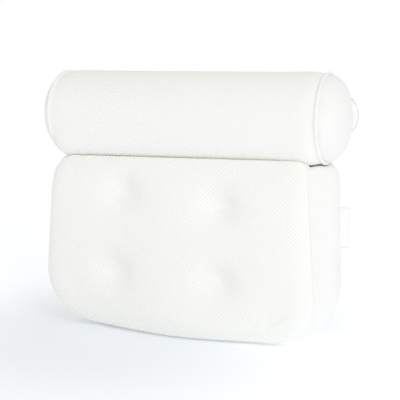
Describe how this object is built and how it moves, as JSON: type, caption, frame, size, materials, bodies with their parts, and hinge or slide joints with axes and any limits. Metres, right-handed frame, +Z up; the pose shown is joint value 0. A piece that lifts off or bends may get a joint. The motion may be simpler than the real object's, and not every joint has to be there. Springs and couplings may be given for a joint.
{
  "type": "bath pillow",
  "caption": "Two-part bath pillow: a domed neck roll of air mesh folds on a fabric hinge over a tufted, piped back pad with clear suction cups behind both.",
  "frame": {"origin": "on the ground under the middle of the whole pillow, between the pad's crowned front and the lips of the roll's cups", "axes": "+X to the right along the roll, +Y to the back where the cups are, +Z up"},
  "size_m": [0.372, 0.1342, 0.2991],
  "materials": {
    "air_mesh": "white knitted spacer mesh with a fine diagonal lattice",
    "cover_knit": "smooth white knit",
    "piping": "white fabric over a cord",
    "filling": "springy white fibre filling",
    "backing": "plain white woven backing",
    "tag_satin": "blank white satin tape",
    "thread": "white polyester thread",
    "washer_plastic": "moulded white plastic",
    "clear_pvc": "clear soft PVC, glossy"
  },
  "bodies": {
    "pad": {"pad_front_mesh": "air_mesh", "pad_gusset": "cover_knit", "pad_back_panel": "backing", "pad_front_piping": "piping", "pad_back_piping": "piping", "pad_filling": "filling", "pad_patch_low_left": "backing", "pad_patch_low_right": "backing", "pad_patch_high_left": "backing", "pad_patch_high_right": "backing", "pad_washer_low_left": "washer_plastic", "pad_washer_low_right": "washer_plastic", "pad_washer_high_left": "washer_plastic", "pad_washer_high_right": "washer_plastic", "tuft_tie_low_left": "thread", "tuft_tie_low_right": "thread", "tuft_tie_high_left": "thread", "tuft_tie_high_right": "thread", "hinge_web": "backing", "side_tag": "tag_satin"},
    "roll": {"roll_sleeve": "air_mesh", "roll_end_left": "cover_knit", "roll_end_right": "cover_knit", "roll_piping_left": "piping", "roll_piping_right": "piping", "roll_filling": "filling", "roll_patch_left": "backing", "roll_patch_right": "backing", "roll_washer_left": "washer_plastic", "roll_washer_right": "washer_plastic"},
    "cup_low_left": {"pad_cup_low_left": "clear_pvc"},
    "cup_low_right": {"pad_cup_low_right": "clear_pvc"},
    "cup_high_left": {"pad_cup_high_left": "clear_pvc"},
    "cup_high_right": {"pad_cup_high_right": "clear_pvc"},
    "cup_roll_left": {"roll_cup_left": "clear_pvc"},
    "cup_roll_right": {"roll_cup_right": "clear_pvc"}
  },
  "joints": [
    {"name": "roll_fold", "type": "hinge", "parent": "pad", "child": "roll", "pos_m": [0, 0.02764, 0.20317], "axis": [-1, 0, 0], "range_deg": [0, 90], "deforming": ["hinge_web"]},
    {"name": "cup_low_left_turn", "type": "hinge", "parent": "pad", "child": "cup_low_left", "pos_m": [-0.06, 0.02466, 0.071], "axis": [0, 1, 0], "continuous": true},
    {"name": "cup_low_right_turn", "type": "hinge", "parent": "pad", "child": "cup_low_right", "pos_m": [0.06, 0.02466, 0.071], "axis": [0, 1, 0], "continuous": true},
    {"name": "cup_high_left_turn", "type": "hinge", "parent": "pad", "child": "cup_high_left", "pos_m": [-0.06, 0.02466, 0.155], "axis": [0, 1, 0], "continuous": true},
    {"name": "cup_high_right_turn", "type": "hinge", "parent": "pad", "child": "cup_high_right", "pos_m": [0.06, 0.02466, 0.155], "axis": [0, 1, 0], "continuous": true},
    {"name": "cup_roll_left_turn", "type": "hinge", "parent": "roll", "child": "cup_roll_left", "pos_m": [-0.1515, 0.04452, 0.24809], "axis": [-0.2858, 0.9583, 0], "continuous": true},
    {"name": "cup_roll_right_turn", "type": "hinge", "parent": "roll", "child": "cup_roll_right", "pos_m": [0.1515, 0.04452, 0.24809], "axis": [0.2858, 0.9583, 0], "continuous": true}
  ]
}
